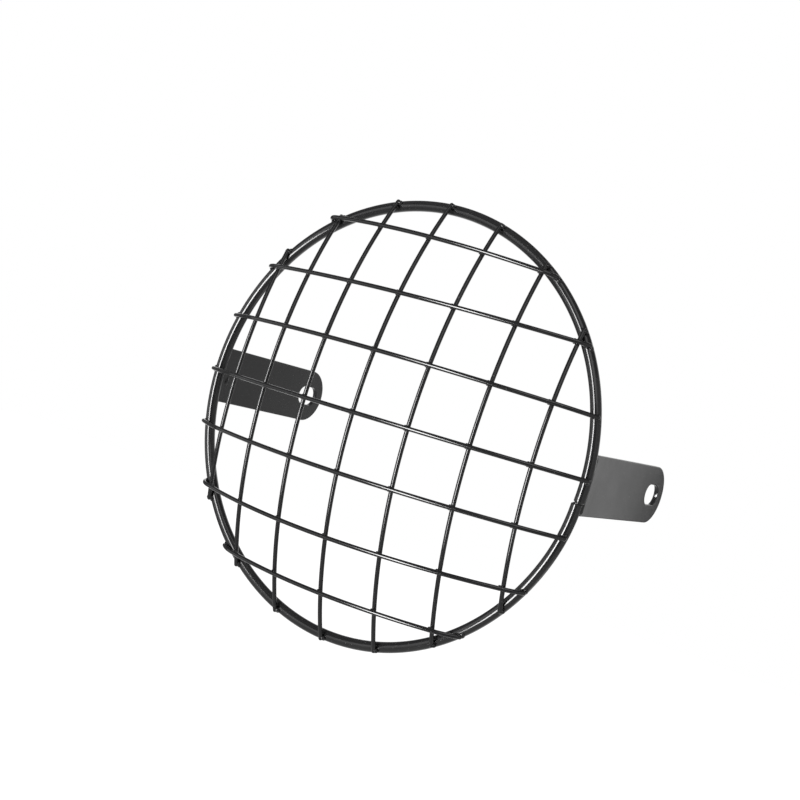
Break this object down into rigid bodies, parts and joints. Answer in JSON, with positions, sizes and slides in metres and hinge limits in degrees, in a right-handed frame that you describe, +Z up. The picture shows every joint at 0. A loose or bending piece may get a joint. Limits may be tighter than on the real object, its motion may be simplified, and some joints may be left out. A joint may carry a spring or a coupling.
{
  "type": "headlight grille",
  "caption": "Domed wire-mesh guard welded to a round-bar rim, with slotted side tabs that hold it in front of a round headlamp.",
  "frame": {"origin": "middle of the rim, in the plane of its bar's centre line", "axes": "+Z up, -Y the way the lamp shines, +Y back along the tabs, +X to the right of someone looking back at the lamp's front"},
  "size_m": [0.1858, 0.1121, 0.1852],
  "materials": {
    "black_coat": "satin-gloss black coat over steel"
  },
  "bodies": {
    "root": {"rim_ring": "black_coat", "column_wire_1": "black_coat", "column_wire_2": "black_coat", "column_wire_3": "black_coat", "column_wire_4": "black_coat", "column_wire_5": "black_coat", "column_wire_6": "black_coat", "column_wire_7": "black_coat", "row_wire_1": "black_coat", "row_wire_2": "black_coat", "row_wire_3": "black_coat", "row_wire_4": "black_coat", "row_wire_5": "black_coat", "row_wire_6": "black_coat", "row_wire_7": "black_coat", "left_tab": "black_coat", "right_tab": "black_coat", "left_tab_weld": "black_coat", "right_tab_weld": "black_coat"}
  },
  "joints": []
}
